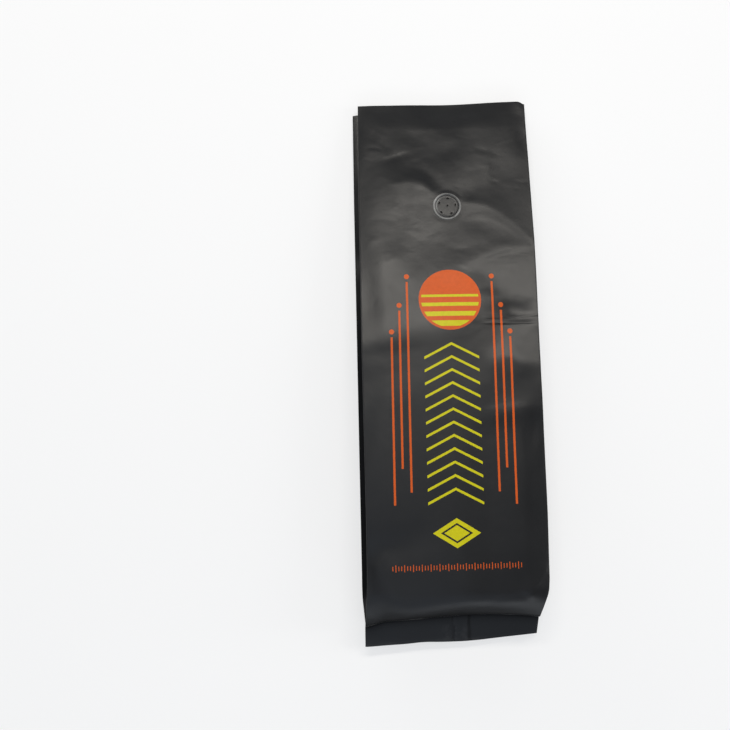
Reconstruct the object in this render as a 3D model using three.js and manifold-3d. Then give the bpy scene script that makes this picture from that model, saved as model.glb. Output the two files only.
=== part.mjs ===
// A side-gusset coffee pouch of black laminate film, empty and loosely puffed,
// lying on its back with the valve side up.
// Millimetres, +Z up. +Y runs from the bottom fin seal to the mouth, +X is to
// the right of the front panel. The origin is the centre of the footprint, on
// the surface that the back panel lies on.
import * as THREE from 'three';
import { mergeVertices } from 'three/addons/utils/BufferGeometryUtils.js';
import Module from 'manifold-3d';

// ---------------------------------------------------------------- pouch sizes
const PANEL_W = 130;            // width of the front and back panels
const HALF = PANEL_W / 2;
const FIN_INSET = 3.3;          // the bottom fin's right end stands in from the panel's edge
const FIN_TAPER = 1.9;          // and further in at the fin's lower edge
const BODY_INSET = 7.8;          // and so does the body's corner over it
const FIN_T = 1.2;              // layers of film welded in the bottom fin
const FIN_Y = -211;             // lower edge of the fin, at its middle
const FIN_SLANT = 3.1;          // the fin's right end is higher by twice this
const FIN_BOW = 1.5;            // rise of its ends from a straight line
const CREASE_Y = -192.3;        // crease between the fin and the end wall, at its middle
const CREASE_SLANT = 4.4;
const CREASE_END = 2.6;         // the crease drops by this at its left end
const CREASE_BOW = 6.3;         // and bows down by this to its right one
const FIN_Z = 11;               // height of the fin's middle
const FIN_TWIST = 3.6;          // its left end is higher and its right end lower by this
const FIN_DROOP = 0.12;         // slope of the fin, down to its edge
const LEAN = 2.5;               // run of the end wall, from the crease to its shoulder
const ROLL = 16;                // the front panel bends down to the shoulder over this run
const ROLL_DROP = 6;            // and by this much
const CORNER = 22;              // the right corner opens out to the full width in this run
const UNDER = 27;               // the back panel drops from the fin in this run
const MOUTH_Y = 196.3;          // front panel's edge at the mouth
const MOUTH_SLANT = 0.7;
const MOUTH_BOW = 0.7;          // its middle stands forward
const MOUTH_LAG = 6.4;          // the back panel's edge stops this much lower
const BODY_H = 46;              // front panel's height over the bottom end
const CROWN = 1.25;             // the front panel's middle stands above its edges
const MOUTH_TILT = 1.4;         // left edge higher at the mouth
const LIP_SAG = 6.8;            // the front lip sags in the middle
const STRIP_SLOPE = 0.15;       // slope of the strip along the right fold, low down
const EDGE_BULGE = 0.9;         // both side folds bow out by this at mid length
const BACK_LIFT = 2.4;          // the back panel's folds stand off the surface
const BACK_FLAT = 0.86;         // share of its width that lies flat
const GUSSET_IN = 33;           // depth of the gusset fold, from the side
const GUSSET_RUN = 26;          // it opens out from the fin in this run

// values along the pouch, as [y, value]
const SLOPES = [                // the front panel's slope: level over the end, a soft bend halfway, steeper to the mouth
  [-230, 0], [-190, 0], [-170, -0.018], [-120, -0.05], [-60, -0.061], [-14, -0.055],
  [4, -0.08], [60, -0.16], [110, -0.147], [150, -0.154], [180, -0.137], [210, -0.176],
];
const STRIP = [[-40, 28], [-71, 33.5], [-110, 38.5], [-148, 42.5], [-195, 50]];   // x where the right strip bends down
const LEFT_IN = [               // how far the left fold stands in from a straight line
  [-200, 0], [-185, 0.6], [-160, 1.3], [-120, 1.5], [-60, 1.3], [0, 0.8], [60, 0.6], [120, 0],
];
const RIGHT_IN = [              // and the right one
  [-160, 0.3], [-120, 0], [-70, 0.45], [-17, 1.3], [20, 1.2], [85, 0.75], [150, 1.35], [180, 1.75],
];
const BACK_SHIFT = [[-160, -2.2], [-85, -2.7], [60, -3.6], [120, -4]];  // the back panel lies to the left

// ---------------------------------------------------------------- valve sizes
const VALVE_D = 21;             // outer diameter of the one-way valve's ring
const VALVE_RING = 2.3;         // width of the ring
const VALVE_T = 1.7;            // height of the ring
const VALVE_PLATE = 0.9;        // height of the plate inside it
const VALVE_X = 0.6;
const VALVE_Y = 111.4;
const VALVE_SEAT = 1.0;         // depth of the seat pressed into the panel
const VALVE_GAP = 0.35;
const VENT_R = 0.62;            // the vent in the middle, and half the width of the others
const VENT_LONG = 1.6;          // the others are longer by this much
const VENT_CIRCLE = 6.4;
const VENT_TURN = 83;           // degrees from +X to the first of them
const VENTS = 5;

// ---------------------------------------------------------------- form
const clamp01 = (t) => Math.min(1, Math.max(0, t));
const smooth = (a, b, t) => {
  const k = clamp01((t - a) / (b - a));
  return k * k * (3 - 2 * k);
};
const mix = (a, b, t) => a + (b - a) * t;

const gauss = (t) => Math.exp(-t * t);
function tableAt(rows, y) {
  if (y <= rows[0][0]) return rows[0][1];
  for (let i = 1; i < rows.length; i++)
    if (y <= rows[i][0]) return mix(rows[i - 1][1], rows[i][1], (y - rows[i - 1][0]) / (rows[i][0] - rows[i - 1][0]));
  return rows[rows.length - 1][1];
}

// height of the front panel along its middle, summed from its slope
const STEP = 0.5, START = -230;
const heights = [0];
for (let i = 1; i <= 900; i++) heights.push(heights[i - 1] + STEP * tableAt(SLOPES, START + (i - 0.5) * STEP));
const heightAt = (y) => {
  const k = Math.min(899, Math.max(0, Math.floor((y - START) / STEP)));
  return mix(heights[k], heights[k + 1], (y - START) / STEP - k);
};
const profile = (y) => BODY_H + heightAt(y) - heightAt(-170);

const finEdge = (r) => FIN_Y + FIN_SLANT * r + FIN_BOW * r * r;
const crease = (r) =>
  CREASE_Y + CREASE_SLANT * r - CREASE_END * smooth(0.75, 1, -r) - CREASE_BOW * (r > 0 ? r * r : 0);
const mouth = (r) => MOUTH_Y + MOUTH_SLANT * r + MOUTH_BOW * gauss((r + 0.05) / 0.35);
const finZ = (r, y) => FIN_Z - FIN_TWIST * r - FIN_DROOP * Math.max(0, crease(r) - y);

// share of the way from the bottom corner to the mouth
const along = (y) => clamp01((y + 170) / (MOUTH_Y + 170));

// front panel: r is -1 at the left fold and 1 at the right one, e the distance past the crease
function frontZ(r, x, y, e) {
  const t = along(y);
  const low = 1 - smooth(-80, -34, y);
  const bend = x - tableAt(STRIP, y);
  const right = low * STRIP_SLOPE * 1.8 * Math.log1p(Math.exp(bend / 1.8));
  const left = 1.55 * smooth(0.72, 1.25, -r) * mix(0.76, 2.49, smooth(-60, 20, y));
  const body =
    profile(y + 16 * smooth(5, 60, x) * gauss(y / 60)) -
    CROWN * (1 - t * t) * r * r - right - left - MOUTH_TILT * t * r -
    LIP_SAG * gauss((r - 0.06) / 0.5) * smooth(174, 207, y);
  // the panel rolls over into the end wall, more at its corners
  const cl = smooth(0.45, 0.95, -r), cr = smooth(0.5, 1, r);
  const roll = ROLL + 6 * cl + 5 * cr;
  const drop = ROLL_DROP + 5.2 * cl + 1.6 * cr;
  const power = 2.2 - 0.6 * cl - 0.5 * cr;
  const bent =
    body - drop * (1 - clamp01((e - LEAN) / roll)) ** power -
    ((power * drop) / roll) * Math.max(0, LEAN - e);
  return mix(finZ(r, y) + FIN_T / 2, bent, 1 - (1 - clamp01(e / LEAN)) ** 1.25);
}

// back panel: flat on the surface, its folds standing off a little
function backZ(r, y, e) {
  const lift = BACK_LIFT * smooth(BACK_FLAT, 1, Math.abs(r));
  return mix(finZ(r, y) - FIN_T / 2, lift, smooth(0, UNDER, e));
}

// x of the side folds
function edges(e, y) {
  const open = clamp01(e / CORNER);
  const bulge = EDGE_BULGE * Math.sin(Math.PI * along(y));
  const shift = tableAt(BACK_SHIFT, y) * open;
  const finIn = FIN_INSET + FIN_TAPER * clamp01((crease(1) - y) / 13);
  const inset = mix(finIn, BODY_INSET, clamp01(e / LEAN));
  return {
    fl: -HALF - bulge - 0.7 * (1 - smooth(0, 30, e)) + tableAt(LEFT_IN, y),
    fr: HALF - inset * (1 - open) + bulge - tableAt(RIGHT_IN, y) * open,
    bl: -HALF + shift,
    br: HALF - finIn * (1 - open) + shift,
  };
}

// one closed loop round the pouch; q runs -1 to 0 over the fin, then is the share of the body
const FRONT_N = 28, BACK_N = 14, SIDE_N = 3;
function loopAt(q) {
  const at = (r, back) => {
    const c = crease(r), f = finEdge(r);
    const top = mouth(r) - (back ? MOUTH_LAG : 0);
    const y = q < 0 ? mix(f, c, q + 1) : mix(c, top, q);
    return { y, e: q < 0 ? 0 : y - c };
  };
  const pts = [];
  const front = (r) => {
    const { y, e } = at(r, false);
    const s = edges(e, y);
    const x = mix(s.fl, s.fr, (r + 1) / 2);
    return new THREE.Vector3(x, y, frontZ(r, x, y, e));
  };
  const back = (r) => {
    const { y, e } = at(r, true);
    const s = edges(e, y);
    return new THREE.Vector3(mix(s.bl, s.br, (r + 1) / 2), y, backZ(r, y, e));
  };
  const side = (a, b, inward) => {
    const fold = a.clone().lerp(b, 0.5);
    fold.x += inward * GUSSET_IN * smooth(0, GUSSET_RUN, fold.y - crease(-inward));
    for (let i = 1; i <= SIDE_N; i++) pts.push(a.clone().lerp(fold, i / SIDE_N));
    for (let i = 1; i < SIDE_N; i++) pts.push(fold.clone().lerp(b, i / SIDE_N));
  };
  for (let i = 0; i <= FRONT_N; i++) pts.push(front(mix(1, -1, i / FRONT_N)));
  side(front(-1), back(-1), 1);
  for (let i = 0; i <= BACK_N; i++) pts.push(back(mix(-1, 1, i / BACK_N)));
  side(back(1), front(1), -1);
  return pts;
}

function stations() {
  const q = [-1, -0.5];
  const len = MOUTH_Y - CREASE_Y;
  for (let i = 0; i < 5; i++) q.push((i * LEAN) / 5 / len);
  for (const e of [LEAN, 4, 6, 8.5, 11.5, 15, 19, 23, 28, 35]) q.push(e / len);
  const body = 30;
  for (let i = 0; i <= body; i++) q.push(mix(44 / len, 1, i / body));
  return q;
}

function pouchGeometry() {
  const loops = stations().map(loopAt);
  const n = loops[0].length;
  const pos = [];
  for (const loop of loops) for (const p of loop) pos.push(p.x, p.y, p.z);
  const idx = [];
  for (let k = 0; k + 1 < loops.length; k++)
    for (let i = 0; i < n; i++) {
      const j = (i + 1) % n;
      const a = k * n + i, b = k * n + j, c = (k + 1) * n + j, d = (k + 1) * n + i;
      idx.push(a, b, c, a, c, d);
    }
  const cap = (k, flip) => {
    const flat = loops[k].map((p) => new THREE.Vector2(p.x, p.z));
    for (const [a, b, c] of THREE.ShapeUtils.triangulateShape(flat, []))
      flip ? idx.push(k * n + c, k * n + b, k * n + a) : idx.push(k * n + a, k * n + b, k * n + c);
  };
  cap(0, true);
  cap(loops.length - 1, false);
  const g = new THREE.BufferGeometry();
  g.setAttribute('position', new THREE.Float32BufferAttribute(pos, 3));
  g.setIndex(idx);
  return g;
}

// ---------------------------------------------------------------- booleans
const wasm = await Module();
wasm.setup();

function solid(geometry) {
  const g = geometry.clone();
  for (const name of Object.keys(g.attributes)) if (name !== 'position') g.deleteAttribute(name);
  const m = mergeVertices(g, 1e-4);
  const made = new wasm.Manifold(new wasm.Mesh({
    numProp: 3,
    vertProperties: new Float32Array(m.attributes.position.array),
    triVerts: new Uint32Array(m.index.array),
  }));
  if (made.volume() > 0) return made;
  const idx = new Uint32Array(m.index.array);
  for (let i = 0; i < idx.length; i += 3) [idx[i + 1], idx[i + 2]] = [idx[i + 2], idx[i + 1]];
  return new wasm.Manifold(new wasm.Mesh({
    numProp: 3,
    vertProperties: new Float32Array(m.attributes.position.array),
    triVerts: idx,
  }));
}

function geometryOf(made) {
  const m = made.getMesh();
  const g = new THREE.BufferGeometry();
  g.setAttribute('position', new THREE.Float32BufferAttribute(m.vertProperties, 3));
  g.setIndex(Array.from(m.triVerts));
  g.computeVertexNormals();
  return g;
}

const lathe = (profile, segments) =>
  new THREE.LatheGeometry(profile.map(([r, h]) => new THREE.Vector2(r, h)), segments).rotateX(Math.PI / 2);

// ---------------------------------------------------------------- valve
// It sits square to the panel, whose slope is taken over the ring's own width.
const rOf = (x) => x / HALF;
const panelZ = (x, y) => frontZ(rOf(x), x, y, y - crease(rOf(x)));
const R = VALVE_D / 2;
const slopeX = (panelZ(VALVE_X + R, VALVE_Y) - panelZ(VALVE_X - R, VALVE_Y)) / VALVE_D;
const slopeY = (panelZ(VALVE_X, VALVE_Y + R) - panelZ(VALVE_X, VALVE_Y - R)) / VALVE_D;
const normal = new THREE.Vector3(-slopeX, -slopeY, 1).normalize();
const seatAt = new THREE.Vector3(VALVE_X, VALVE_Y, panelZ(VALVE_X, VALVE_Y)).addScaledVector(normal, -VALVE_SEAT);
const turn = new THREE.Quaternion().setFromUnitVectors(new THREE.Vector3(0, 0, 1), normal);

const seatCut = lathe(
  [[0, 0], [R + VALVE_GAP, 0], [R + VALVE_GAP, VALVE_T + 8], [0, VALVE_T + 8]], 40)
  .applyQuaternion(turn).translate(seatAt.x, seatAt.y, seatAt.z);
const pouchSolid = solid(pouchGeometry()).subtract(solid(seatCut));
const pouchGeo = geometryOf(pouchSolid);

// ring with a rounded crest round a lower plate
const ringProfile = [[0, 0], [R, 0], [R, VALVE_T * 0.55]];
for (let i = 1; i < 6; i++) {
  const a = (Math.PI * i) / 6;
  ringProfile.push([
    R - VALVE_RING / 2 + (VALVE_RING / 2) * Math.cos(a),
    VALVE_T * 0.55 + VALVE_T * 0.45 * Math.sin(a),
  ]);
}
ringProfile.push([R - VALVE_RING, VALVE_PLATE], [0, VALVE_PLATE]);
let valveSolid = solid(lathe(ringProfile, 40));
const vent = () => lathe([[0, -1], [VENT_R, -1], [VENT_R, 4], [0, 4]], 10);
valveSolid = valveSolid.subtract(solid(vent()));
for (let i = 0; i < VENTS; i++) {
  const a = (Math.PI * VENT_TURN) / 180 + (2 * Math.PI * i) / VENTS;
  valveSolid = valveSolid.subtract(
    solid(vent().scale(1, VENT_LONG, 1).translate(VENT_CIRCLE, 0, 0).rotateZ(a)));
}

// ---------------------------------------------------------------- assembly
const film = new THREE.MeshStandardMaterial({ color: 0x2b2c2f, roughness: 0.5, metalness: 0 });
const ring = new THREE.MeshStandardMaterial({ color: 0x9a9a98, roughness: 0.4, metalness: 0 });

pouchGeo.computeBoundingBox();
const box = pouchGeo.boundingBox;

const pouch = new THREE.Mesh(pouchGeo, film);
pouch.name = 'pouch';

const valve = new THREE.Mesh(geometryOf(valveSolid), ring);
valve.name = 'valve';
valve.position.copy(seatAt).addScaledVector(normal, VALVE_GAP);
valve.quaternion.copy(turn);

const group = new THREE.Group();
group.name = 'coffee_pouch';
group.position.set(-(box.min.x + box.max.x) / 2, -(box.min.y + box.max.y) / 2, -box.min.z);
group.add(pouch, valve);
group.updateMatrixWorld(true);

export default group;
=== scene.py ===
"""Looks for a side-gusset coffee pouch of black matt laminate, lying on its back.

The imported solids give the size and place. This script replaces them with the film itself:
front panel with its creases, folded side gussets, back panel with its folded seam, the
flat bottom seal, the lips of the mouth, and the one-way valve with its vents.
Lengths are in millimetres in the film's own layout (x across, y along, z up), and are
moved into the shared frame, in metres, when the meshes are made.
"""

import math

import bpy
import numpy as np
from mathutils import Matrix, Vector
from mathutils.geometry import delaunay_2d_cdt


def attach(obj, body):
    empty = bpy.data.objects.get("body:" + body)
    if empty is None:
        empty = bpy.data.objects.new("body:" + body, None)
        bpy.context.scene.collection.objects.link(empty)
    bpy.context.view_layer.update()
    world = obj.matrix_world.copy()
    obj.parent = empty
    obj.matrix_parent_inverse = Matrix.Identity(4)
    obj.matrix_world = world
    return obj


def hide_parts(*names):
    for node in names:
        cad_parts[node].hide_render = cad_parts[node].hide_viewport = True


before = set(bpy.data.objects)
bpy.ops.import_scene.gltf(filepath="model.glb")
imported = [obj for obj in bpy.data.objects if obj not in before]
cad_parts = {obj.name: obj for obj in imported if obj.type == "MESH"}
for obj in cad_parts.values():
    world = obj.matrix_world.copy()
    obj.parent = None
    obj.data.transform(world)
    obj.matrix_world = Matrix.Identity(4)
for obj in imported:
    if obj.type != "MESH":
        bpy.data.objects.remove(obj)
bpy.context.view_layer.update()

MM = 0.001
SHIFT = np.array([1.8176, 7.8000, 0.0])  # layout to frame, mm
RNG = np.random.default_rng(20)

# ---------------------------------------------------------------- base form, as in the solids

HALF = 65.0  # half the front panel's width
FIN_INSET, BODY_INSET = 3.3, 7.8  # the bottom seal, and the body's corner above it, stop short of the right fold
FIN_TAPER = 1.9  # and the seal's lower edge stops shorter
FIN_T = 0.9
FIN_Y, FIN_SLANT, FIN_BOW = -211.0, 3.1, 1.5
CREASE_Y, CREASE_SLANT, CREASE_END, CREASE_BOW = -192.3, 4.4, 2.6, 6.3
FIN_Z, FIN_TWIST, FIN_DROOP = 11.0, 3.6, 2.4
WALL, UNDER = 22.0, 27.0
LEAN = 2.5  # run of the end wall, from the crease to its shoulder
ROLL, ROLL_DROP = 16.0, 6.0  # the panel bends down to the shoulder over this length and drop
MOUTH_Y, MOUTH_SLANT, MOUTH_LAG = 196.3, 0.7, 6.4
BODY_H, MOUTH_TILT = 46.0, 1.4
# slope of the front panel along its middle: nearly level over the end, a soft bend halfway, steeper to the mouth
SLOPES = [(-230, 0.0), (-190, 0.0), (-170, -0.018), (-120, -0.0497), (-60, -0.0612), (-14, -0.0554), (4, -0.080), (60, -0.160), (110, -0.1467), (150, -0.1538), (180, -0.137), (210, -0.1764)]
CROWN, LIP_SAG = 1.25, 6.8
STRIP = [(-40, 28.0), (-71, 33.5), (-110, 38.5), (-148, 42.5), (-168, 45.7), (-180, 47.8), (-195, 50.0)]  # where the right strip bends down
STRIP_SLOPE = 0.15
BULGE = 0.9
BACK_LIFT, BACK_FLAT, BACK_Z = 2.4, 0.86, 0.62
GUSSET_IN, GUSSET_RUN = 33.0, 26.0
FOLD_R = 0.42  # radius of the film round a side fold
SEAM_A, SEAM_B, SEAM_T = -1.05, 10.0, 0.5  # the back seam's flap
VALVE_X, VALVE_Y, VALVE_D = 0.6, 111.4, 21.0
# how far the side folds stand in from a straight line, and the back panel's shift to the left, along the pouch
LEFT_IN = [(-200, 0.0), (-185, 0.6), (-160, 1.3), (-120, 1.5), (-60, 1.3), (0, 0.8), (60, 0.6), (120, 0.0)]
RIGHT_IN = [(-200, 0.3), (-160, 0.3), (-120, 0.0), (-70, 0.45), (-17, 1.3), (20, 1.2), (55, 0.9), (85, 0.75), (110, 1.05), (150, 1.35), (180, 1.75), (200, 1.75)]
BACK_SHIFT = [(-200, -2.2), (-160, -2.2), (-85, -2.7), (60, -3.6), (120, -4.0), (200, -4.0)]


def smooth(a, b, t):
    s = np.clip((t - a) / (b - a), 0.0, 1.0)
    return s * s * (3.0 - 2.0 * s)


def mix(a, b, t):
    return a + (b - a) * t


def fin_edge(r):
    wave = 0.8 * np.exp(-(((r + 0.32) / 0.18) ** 2)) - 0.5 * np.exp(-(((r - 0.25) / 0.25) ** 2)) - 0.8 * np.exp(-(((r + 1) / 0.22) ** 2))
    return FIN_Y + FIN_SLANT * r + FIN_BOW * r * r + wave


def crease(r):
    return CREASE_Y + CREASE_SLANT * r - CREASE_END * smooth(0.75, 1, -r) - CREASE_BOW * np.where(r > 0, r * r, 0)


def mouth(r):
    return MOUTH_Y + MOUTH_SLANT * r + 0.1 * np.exp(-(((r + 0.05) / 0.35) ** 2)) - 0.4 * np.exp(-(((r + 0.1) / 0.6) ** 2))


def fin_z(r):
    return FIN_Z - FIN_TWIST * r


def along(y):
    return np.clip((y + 170.0) / (MOUTH_Y + 170.0), 0.0, 1.0)


_at, _slope = np.array(SLOPES, float).T
_y = np.linspace(-230, 210, 4401)
_z = np.r_[0, np.cumsum(np.interp(_y[1:], _at, _slope) * np.diff(_y))]
_z = _z + BODY_H - np.interp(-170, _y, _z)


def profile(y):
    """Height of the front panel along its middle."""
    return np.interp(y, _y, _z)


# ---------------------------------------------------------------- creases and dents of the film


def curve_through(points, n=40):
    """A smooth line through the points, evenly stepped."""
    p = np.asarray(points, float)
    if len(p) > 2:
        ext = np.vstack([2 * p[0] - p[1], p, 2 * p[-1] - p[-2]])
        out = []
        for i in range(1, len(ext) - 2):
            a, b, c, d = ext[i - 1 : i + 3]
            t = np.linspace(0, 1, 12, endpoint=False)[:, None]
            out.append(
                0.5
                * (
                    2 * b
                    + (c - a) * t
                    + (2 * a - 5 * b + 4 * c - d) * t**2
                    + (3 * b - a - 3 * c + d) * t**3
                )
            )
        p = np.vstack(out + [p[-1:]])
    step = np.r_[0, np.cumsum(np.linalg.norm(np.diff(p, axis=0), axis=1))]
    s = np.linspace(0, step[-1], n)
    return np.column_stack([np.interp(s, step, p[:, k]) for k in (0, 1)]), step[-1]


def to_line(x, y, line):
    """Signed distance to a line (positive on its left) and the distance run along it."""
    best = np.full(x.shape, 1e9)
    sign = np.ones(x.shape)
    run = np.zeros(x.shape)
    done = 0.0
    for a, b in zip(line[:-1], line[1:]):
        d = b - a
        n = float(np.hypot(*d))
        t = np.clip(((x - a[0]) * d[0] + (y - a[1]) * d[1]) / (n * n), 0, 1)
        ex, ey = x - a[0] - t * d[0], y - a[1] - t * d[1]
        dist = np.hypot(ex, ey)
        near = dist < best
        best = np.where(near, dist, best)
        sign = np.where(near, np.where(d[0] * ey - d[1] * ex >= 0, 1.0, -1.0), sign)
        run = np.where(near, done + t * n, run)
        done += n
    return best * sign, run


def ridge(x, y, points, h, left, right, radius=0.8, start=8.0, end=8.0):
    """A fold in the film: h high on the line, falling away over left and right."""
    line, length = curve_through(points)
    d, run = to_line(x, y, line)
    soft = np.sqrt(d * d + radius * radius) - radius
    f = np.where(d > 0, 1 - np.minimum(soft / left, 1), 1 - np.minimum(soft / right, 1))
    ends = np.ones(x.shape)
    if start > 0:
        ends = ends * smooth(0, start, run)
    if end > 0:
        ends = ends * smooth(0, end, length - run)
    return h * f * f * ends


def dent(x, y, cx, cy, h, wx, wy, turn=0.0):
    c, s = math.cos(math.radians(turn)), math.sin(math.radians(turn))
    u, v = (x - cx) * c + (y - cy) * s, -(x - cx) * s + (y - cy) * c
    return h * np.exp(-((u / wx) ** 2) - (v / wy) ** 2)


def noise(x, y, size, seed):
    """Smooth noise of about unit height, with lumps of that size."""
    g = np.random.default_rng(seed).normal(size=(64, 64))
    u, v = x / size + 32.3, y / size + 32.7
    i, j = np.floor(u).astype(int), np.floor(v).astype(int)
    fu, fv = u - i, v - j
    fu, fv = fu**3 * (fu * (6 * fu - 15) + 10), fv**3 * (fv * (6 * fv - 15) + 10)
    i, j = i % 64, j % 64
    k, m = (i + 1) % 64, (j + 1) % 64
    return mix(mix(g[i, j], g[k, j], fu), mix(g[i, m], g[k, m], fu), fv)


# each fold: points on the panel, height, reach on its left and right, radius, run-in, run-out
FOLDS = [
    # the pull from the left fold to the valve
    ([(-46.0, 128.2), (-37.0, 130.2), (-28.0, 131.0), (-20.0, 129.0), (-13.0, 124.8), (-7.5, 120.0)], 0.122, 6.4, 5.7, 0.9, 12, 4),
    # the hollow above that pull
    ([(-34.0, 139.5), (-25.0, 138.0), (-17.0, 134.5), (-11.0, 129.0), (-7.0, 123.5)], -0.095, 13.2, 2.5, 1.59, 6, 4),
    # the pull from the valve to the right fold
    ([(11.0, 114.6), (22.0, 113.6), (31.0, 111.0), (41.0, 105.4), (52.0, 96.2), (64.0, 84.0), (70.0, 78.0)], 0.105, 16.9, 4.4, 0.5, 4, 0),
    # the tuck above it, beside the valve
    ([(12.0, 118.6), (20.0, 118.4), (28.0, 117.4), (38.0, 113.6)], -0.037, 6.3, 2.5, 1.23, 3, 8),
    # the edge below it
    ([(12.0, 101.0), (24.0, 103.0), (34.0, 101.0), (46.0, 94.5), (58.0, 85.5)], 0.061, 6.8, 2.5, 1.97, 6, 6),
    # the second pull, up to the right fold
    ([(10.5, 60.8), (16.0, 65.6), (25.0, 70.6), (37.0, 74.9), (48.0, 77.4), (66.0, 79.6), (70.0, 80.0)], 0.105, 12.5, 4.6, 0.45, 5, 0),
    # the soft edge running down from the valve
    ([(-3.0, 99.0), (-13.0, 90.0), (-24.0, 80.5), (-36.0, 75.0)], -0.031, 13.8, 2.5, 1.66, 6, 8),
    # upright streak left of the valve
    ([(-40.0, 120.0), (-39.0, 105.0), (-38.0, 88.0)], 0.029, 2.8, 9.9, 1.32, 8, 8),
    # small creases near the mouth
    ([(-48.0, 151.6), (-42.0, 153.0), (-36.0, 155.0), (-27.5, 158.2)], 0.075, 8.0, 2.2, 0.35, 4, 5),
    ([(-60.0, 160.5), (-53.0, 159.6), (-46.0, 157.4)], -0.125, 6.5, 2.5, 0.50, 4, 4),
    ([(22.0, 159.6), (28.0, 157.6), (34.0, 157.0)], -0.073, 4.3, 4.1, 0.66, 4, 4),
    # paired creases at the right fold
    ([(21.0, 24.0), (47.4, 24.5), (58.5, 25.2), (63.6, 26.0), (69.0, 27.0)], 0.17, 5.0, 1.8, 0.20, 9, 0),
    ([(21.0, 19.7), (47.2, 19.9), (54.5, 20.0), (60.4, 20.3), (66.0, 20.8)], 0.09, 3.2, 1.2, 0.20, 9, 9),
    ([(27.0, 18.7), (47.2, 18.8), (54.5, 19.0), (60.4, 19.3), (67.0, 20.0)], -0.11, 1.2, 10.3, 0.20, 9, 9),
    # hollow at the right fold
    ([(38.0, 41.0), (48.0, 39.0), (58.0, 36.5), (68.0, 35.0)], -0.042, 2.5, 9.6, 1.27, 8, 0),
    # soft edges across the right, halfway down
    ([(30.0, 3.0), (42.0, 0.0), (54.0, -2.0), (68.0, -3.0)], -0.061, 5.2, 9.5, 1.02, 8, 0),
    ([(36.0, -13.0), (46.0, -13.5), (58.0, -15.0), (68.0, -16.0)], -0.013, 2.5, 13.8, 1.12, 8, 0),
    # crease across the right of the lower panel
    ([(22.0, -44.6), (32.0, -43.8), (40.0, -43.4), (48.0, -42.8), (56.0, -42.2), (68.0, -41.4)], 0.06, 5.0, 12.5, 0.50, 6, 0),
    # corner folds over the bottom wall
    ([(49.5, -180.0), (54, -171.5), (60, -162.5), (66, -155.0)], 0.55, 11, 7, 0.8, 5, 6),
    ([(-48, -142.0), (-54, -151.0), (-61, -159.0)], 0.3, 6, 9, 0.8, 8, 6),
]
SHARP = [0, 2, 5]  # the pulled folds, where the matt layer is rubbed

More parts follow.
